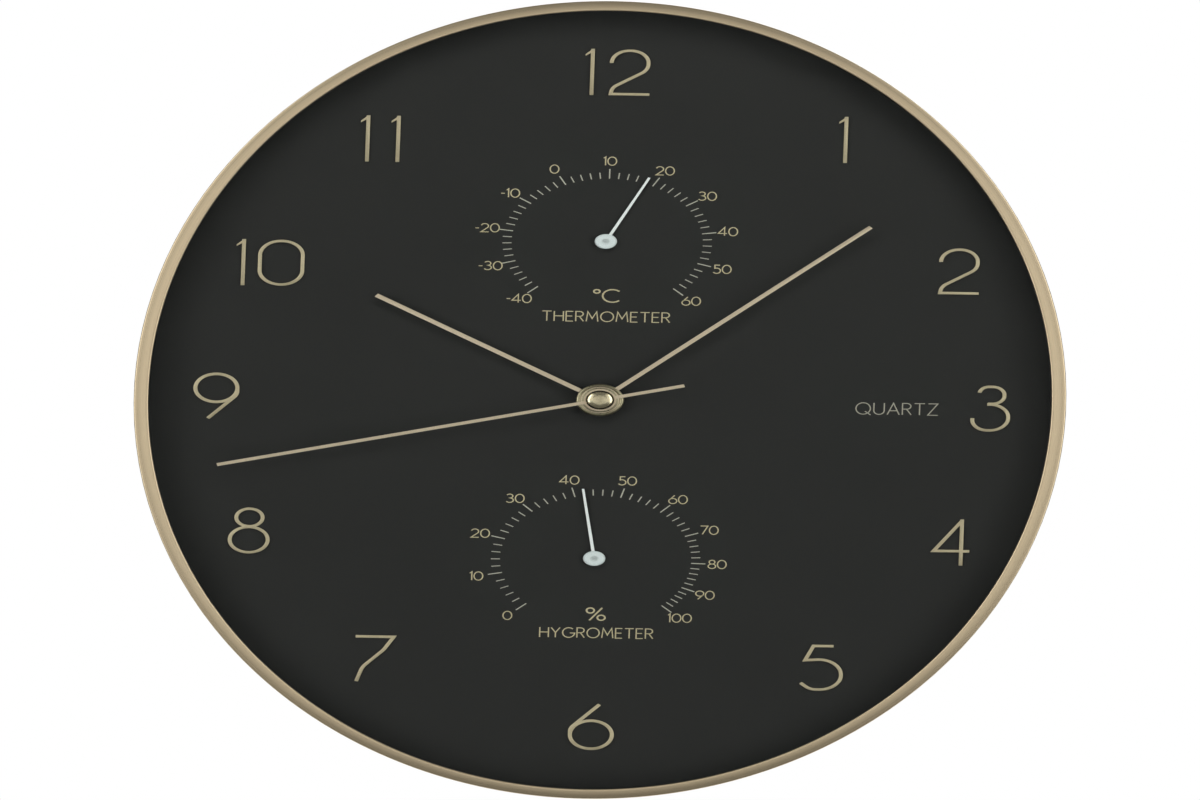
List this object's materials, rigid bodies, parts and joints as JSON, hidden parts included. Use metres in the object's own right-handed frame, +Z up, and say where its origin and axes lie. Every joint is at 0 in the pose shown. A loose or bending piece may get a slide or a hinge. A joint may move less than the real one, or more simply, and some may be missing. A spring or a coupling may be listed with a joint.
{
  "type": "thermometer hygrometer wall clock",
  "caption": "Oval wall clock with a gold rim and black dial, three bar hands, raised hour numerals, and thermometer and hygrometer dials above and below the centre.",
  "frame": {"origin": "centre of the keyhole's round entry, on the hanger plate's rear face", "axes": "+Z up, -Y out of the dial towards the viewer, +Y towards the wall, +X right as the dial is read"},
  "size_m": [0.3, 0.0425, 0.385],
  "materials": {
    "case_gold": "satin champagne gold, brushed along the rim",
    "hand_gold": "satin champagne gold",
    "numeral_gold": "satin champagne gold",
    "clear": "clear",
    "spacer_black": "matt black",
    "dial_black": "matt charcoal",
    "chassis_black": "moulded, fine texture",
    "movement_black": "moulded, fine texture",
    "inner_plastic": "moulded, natural",
    "wheel_plastic": "moulded, natural",
    "zinc_steel": "zinc plated",
    "dark_steel": "blued laminations",
    "brass": "turned",
    "rubber": "matt",
    "magnet": "sintered, dark",
    "winding_copper": "enamelled copper wire",
    "board_green": "solder mask",
    "resin_black": "resin drop",
    "cell_wrap": "plain wrap, bare metal ends",
    "pointer_white": "satin white",
    "cap_grey": "satin pale grey",
    "coil_metal": "rolled strip"
  },
  "bodies": {
    "case": {"bezel": "case_gold", "case_rim": "case_gold", "lens": "clear", "spacer_ring": "spacer_black", "dial": "dial_black", "chassis": "chassis_black", "case_screws": "zinc_steel", "hanger_plate": "zinc_steel", "shaft_nut": "brass", "brass_washer": "brass", "rubber_washer": "rubber", "movement_front_case": "movement_black", "movement_rear_cover": "movement_black", "middle_plate": "inner_plastic", "stator": "dark_steel", "coil_core": "dark_steel", "coil_bobbin": "inner_plastic", "coil_winding": "winding_copper", "circuit_board": "board_green", "quartz_crystal": "zinc_steel", "chip_cover": "resin_black", "battery": "cell_wrap", "positive_contact": "zinc_steel", "negative_contact": "zinc_steel", "thermometer_housing": "chassis_black", "thermometer_coil": "coil_metal", "hygrometer_housing": "chassis_black", "hygrometer_coil": "coil_metal", "numeral_1": "numeral_gold", "numeral_2": "numeral_gold", "numeral_3": "numeral_gold", "numeral_4": "numeral_gold", "numeral_5": "numeral_gold", "numeral_6": "numeral_gold", "numeral_7": "numeral_gold", "numeral_8": "numeral_gold", "numeral_9": "numeral_gold", "numeral_10": "numeral_gold", "numeral_11": "numeral_gold", "numeral_12": "numeral_gold"},
    "second_hand": {"second_hand": "hand_gold", "seconds_wheel": "wheel_plastic"},
    "fifth_wheel": {"fifth_wheel": "wheel_plastic"},
    "rotor": {"rotor": "magnet"},
    "third_wheel": {"third_wheel": "wheel_plastic"},
    "centre_wheel": {"centre_wheel": "wheel_plastic"},
    "minute_hand": {"minute_hand": "hand_gold", "minute_arbor": "brass"},
    "minute_wheel": {"minute_wheel": "wheel_plastic"},
    "hour_hand": {"hour_hand": "hand_gold", "hour_wheel": "brass"},
    "setting_knob": {"setting_knob": "movement_black", "setting_gear": "wheel_plastic"},
    "thermometer_pointer": {"thermometer_pointer": "pointer_white", "thermometer_cap": "cap_grey", "thermometer_staff": "zinc_steel"},
    "hygrometer_pointer": {"hygrometer_pointer": "pointer_white", "hygrometer_cap": "cap_grey", "hygrometer_staff": "zinc_steel"}
  },
  "joints": [
    {"name": "second_hand_spin", "type": "hinge", "parent": "case", "child": "second_hand", "pos_m": [0, 0, -0.15], "axis": [0, 1, 0], "continuous": true},
    {"name": "fifth_wheel_spin", "type": "hinge", "parent": "case", "child": "fifth_wheel", "pos_m": [-0.00122, 0, -0.14311], "axis": [0, 1, 0], "continuous": true},
    {"name": "rotor_spin", "type": "hinge", "parent": "case", "child": "rotor", "pos_m": [0.00003, 0, -0.13602], "axis": [0, 1, 0], "continuous": true},
    {"name": "third_wheel_spin", "type": "hinge", "parent": "case", "child": "third_wheel", "pos_m": [0.0085, 0, -0.15], "axis": [0, 1, 0], "continuous": true},
    {"name": "centre_wheel_spin", "type": "hinge", "parent": "case", "child": "centre_wheel", "pos_m": [0, 0, -0.15], "axis": [0, 1, 0], "continuous": true},
    {"name": "minute_hand_spin", "type": "hinge", "parent": "case", "child": "minute_hand", "pos_m": [0, 0, -0.15], "axis": [0, 1, 0], "continuous": true},
    {"name": "minute_wheel_spin", "type": "hinge", "parent": "case", "child": "minute_wheel", "pos_m": [-0.00727, 0, -0.1458], "axis": [0, 1, 0], "continuous": true},
    {"name": "hour_hand_spin", "type": "hinge", "parent": "case", "child": "hour_hand", "pos_m": [0, 0, -0.15], "axis": [0, 1, 0], "continuous": true},
    {"name": "setting_knob_turn", "type": "hinge", "parent": "case", "child": "setting_knob", "pos_m": [-0.01606, 0, -0.14735], "axis": [0, 1, 0], "continuous": true},
    {"name": "thermometer_pointer_turn", "type": "hinge", "parent": "case", "child": "thermometer_pointer", "pos_m": [0, 0, -0.0735], "axis": [0, 1, 0], "range_deg": [-158.1, 111.9], "stiffness_Nm_per_rad": 0.0005, "deforming": ["thermometer_coil"]},
    {"name": "hygrometer_pointer_turn", "type": "hinge", "parent": "case", "child": "hygrometer_pointer", "pos_m": [0, 0, -0.2265], "axis": [0, 1, 0], "range_deg": [-127.5, 142.5], "stiffness_Nm_per_rad": 0.0005, "deforming": ["hygrometer_coil"]}
  ],
  "couplings": [
    {"joint": "fifth_wheel_spin", "follows": "second_hand_spin", "ratio": -6},
    {"joint": "rotor_spin", "follows": "second_hand_spin", "ratio": 30},
    {"joint": "third_wheel_spin", "follows": "second_hand_spin", "ratio": -0.13333},
    {"joint": "centre_wheel_spin", "follows": "second_hand_spin", "ratio": 0.016667},
    {"joint": "minute_wheel_spin", "follows": "minute_hand_spin", "ratio": -0.33333},
    {"joint": "hour_hand_spin", "follows": "minute_hand_spin", "ratio": 0.083333},
    {"joint": "setting_knob_turn", "follows": "minute_hand_spin", "ratio": 0.8}
  ]
}
